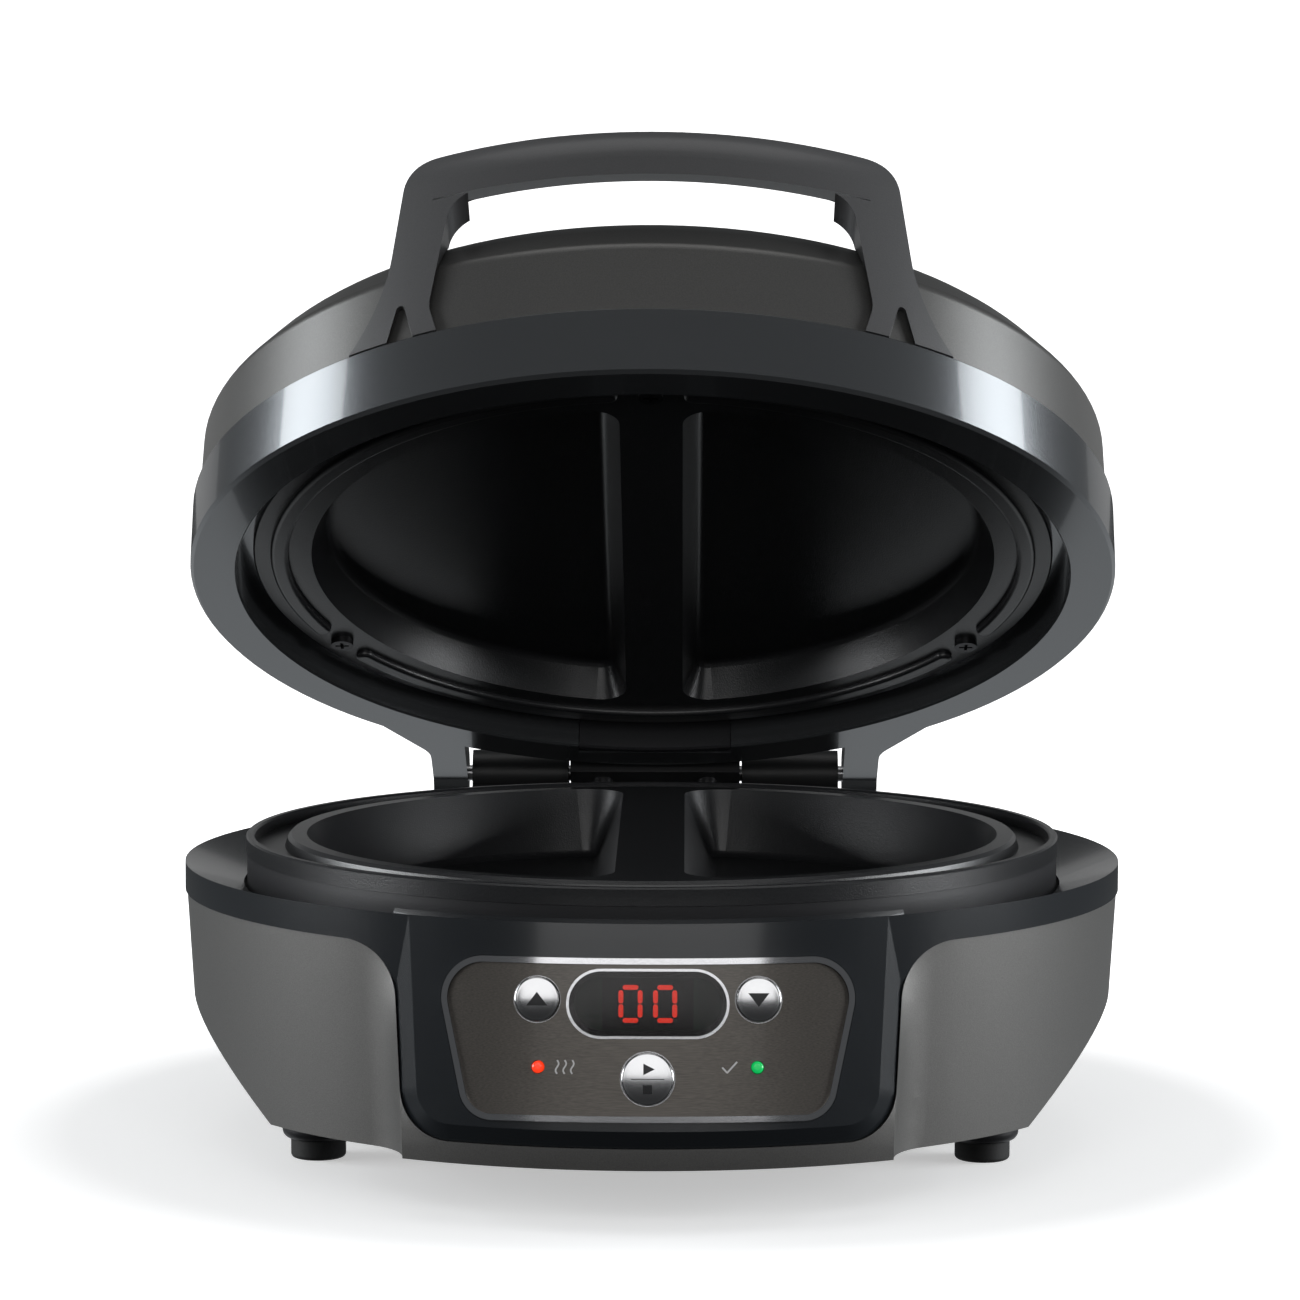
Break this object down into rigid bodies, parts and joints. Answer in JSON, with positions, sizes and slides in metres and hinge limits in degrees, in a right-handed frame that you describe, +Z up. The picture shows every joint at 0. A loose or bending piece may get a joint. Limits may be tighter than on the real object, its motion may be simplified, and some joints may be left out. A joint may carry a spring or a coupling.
{
  "type": "waffle maker",
  "caption": "Round counter-top plate cooker, lid standing open on its rear hinge, half-round pockets, bail handle and a front panel with a display.",
  "frame": {"origin": "on the table, in the middle of the footprint of the object with its lid part open", "axes": "+Z up, -Y towards the control panel, +X to the right seen from the front"},
  "size_m": [0.27, 0.3054, 0.2889],
  "materials": {
    "body_paint": "satin warm grey paint with a fine grain",
    "deck_plastic": "satin-gloss bluish charcoal",
    "band_gloss": "glossy dark metallic grey",
    "grip_plastic": "satin dark grey",
    "nonstick": "black non-stick coating on cast aluminium",
    "phenolic": "black heat-resistant moulding",
    "panel_metal": "brushed, warm grey",
    "bright_trim": "polished",
    "button_metal": "satin-polished domes",
    "window_plastic": "smoked clear cover",
    "black_plastic": "plain black moulding",
    "segment_red": "lit red bars",
    "lens_red": "clear red light pipe",
    "lens_green": "clear green light pipe",
    "circuit_board": "green solder mask",
    "plain_steel": "plated or plain sheet",
    "hinge_black": "black satin",
    "foot_rubber": "matte",
    "white_ceramic": "glazed body or white thermoplastic"
  },
  "bodies": {
    "base": {"base_shell": "body_paint", "deck_fascia": "deck_plastic", "lower_plate": "nonstick", "plate_collar": "phenolic", "control_panel": "panel_metal", "panel_bead": "bright_trim", "window_trim": "bright_trim", "display_window": "window_plastic", "display_module": "black_plastic", "display_segments": "segment_red", "heating_lamp": "lens_red", "ready_lamp": "lens_green", "control_board": "circuit_board", "power_board": "circuit_board", "tact_switches": "black_plastic", "board_screws": "plain_steel", "collar_screws": "plain_steel", "lower_heat_shield": "plain_steel", "lower_plate_screws": "plain_steel", "lower_element": "plain_steel", "lower_thermostat": "white_ceramic", "thermal_fuse": "plain_steel", "bottom_cover": "black_plastic", "cover_screws": "plain_steel", "base_screws": "plain_steel", "power_screws": "plain_steel", "transformer": "black_plastic", "relay": "black_plastic", "terminal_block": "white_ceramic", "cord_gland": "black_plastic", "feet": "black_plastic", "foot_pads": "foot_rubber", "foot_screws": "plain_steel", "hinge_mount": "hinge_black", "hinge_screws": "plain_steel", "hinge_pins": "plain_steel"},
    "lid": {"lid_rim": "band_gloss", "rim_insert": "black_plastic", "hinge_bracket": "hinge_black", "bracket_screws": "plain_steel", "lid_shell": "body_paint", "lid_screws": "plain_steel", "handle": "grip_plastic", "handle_screws": "plain_steel", "upper_plate": "nonstick", "upper_plate_screws": "plain_steel", "upper_heat_shield": "plain_steel", "upper_element": "plain_steel", "upper_thermostat": "white_ceramic"},
    "button_up": {"button_up": "button_metal"},
    "button_down": {"button_down": "button_metal"},
    "button_start": {"button_start": "button_metal"}
  },
  "joints": [
    {"name": "lid_hinge", "type": "hinge", "parent": "base", "child": "lid", "pos_m": [0, 0.14516, 0.086], "axis": [-1, 0, 0], "range_deg": [-29.7, 65.3]},
    {"name": "button_up_slide", "type": "slide", "parent": "base", "child": "button_up", "axis": [0, 0.9862, -0.1656], "range_m": [0, 0.0008], "stiffness_N_per_m": 600, "springref_m": -0.0005},
    {"name": "button_down_slide", "type": "slide", "parent": "base", "child": "button_down", "axis": [0, 0.9862, -0.1656], "range_m": [0, 0.0008], "stiffness_N_per_m": 600, "springref_m": -0.0005},
    {"name": "button_start_slide", "type": "slide", "parent": "base", "child": "button_start", "axis": [0, 0.9862, -0.1656], "range_m": [0, 0.0008], "stiffness_N_per_m": 600, "springref_m": -0.0005}
  ]
}
